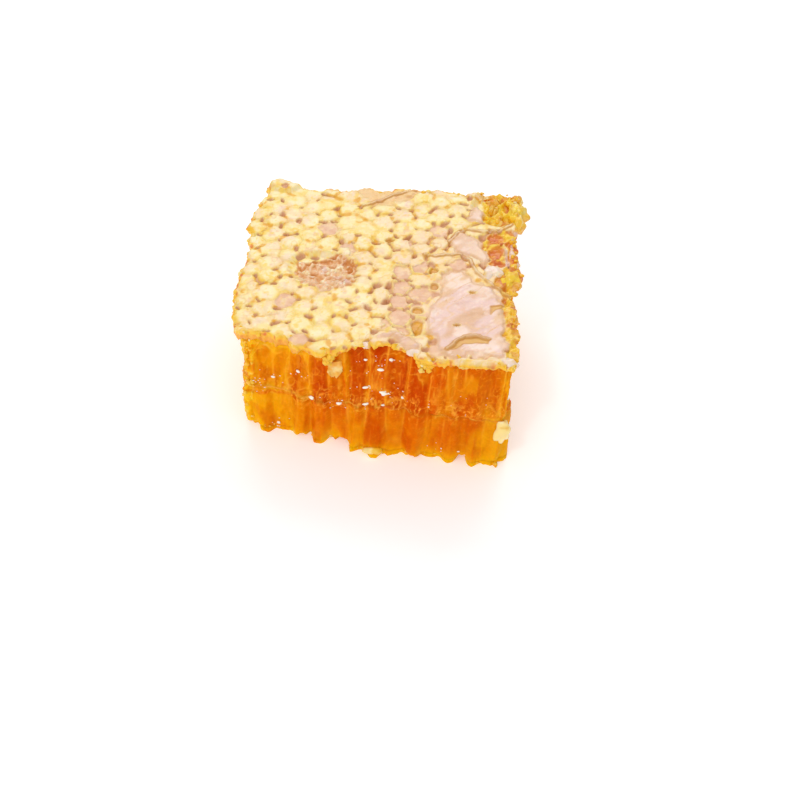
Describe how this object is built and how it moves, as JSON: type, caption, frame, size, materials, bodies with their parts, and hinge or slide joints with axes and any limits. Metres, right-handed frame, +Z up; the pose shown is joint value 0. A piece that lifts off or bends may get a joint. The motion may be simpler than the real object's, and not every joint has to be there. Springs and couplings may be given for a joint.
{
  "type": "honeycomb piece",
  "caption": "Cut block of capped honeycomb: pale wax cappings with a torn rim over layers of honey-filled cells that stand back to back on a wax midrib.",
  "frame": {"origin": "centre of the piece's base box, on the surface it rests on", "axes": "+X along the longest side, +Z up through the top capping, -Y towards the cut face with the hanging scraps of wax"},
  "size_m": [0.0709, 0.0668, 0.0374],
  "materials": {
    "wax_capping": "soft matt beeswax, cream to pale yellow, wet with honey in its pits",
    "honey_cells": "honey seen through thin wax cell walls, translucent amber orange with a wet gloss",
    "wax_midrib": "thin wax sheet soaked in honey"
  },
  "bodies": {
    "root": {"capping_top": "wax_capping", "cells_upper": "honey_cells", "midrib": "wax_midrib", "cells_lower": "honey_cells", "capping_bottom": "wax_capping"}
  },
  "joints": []
}
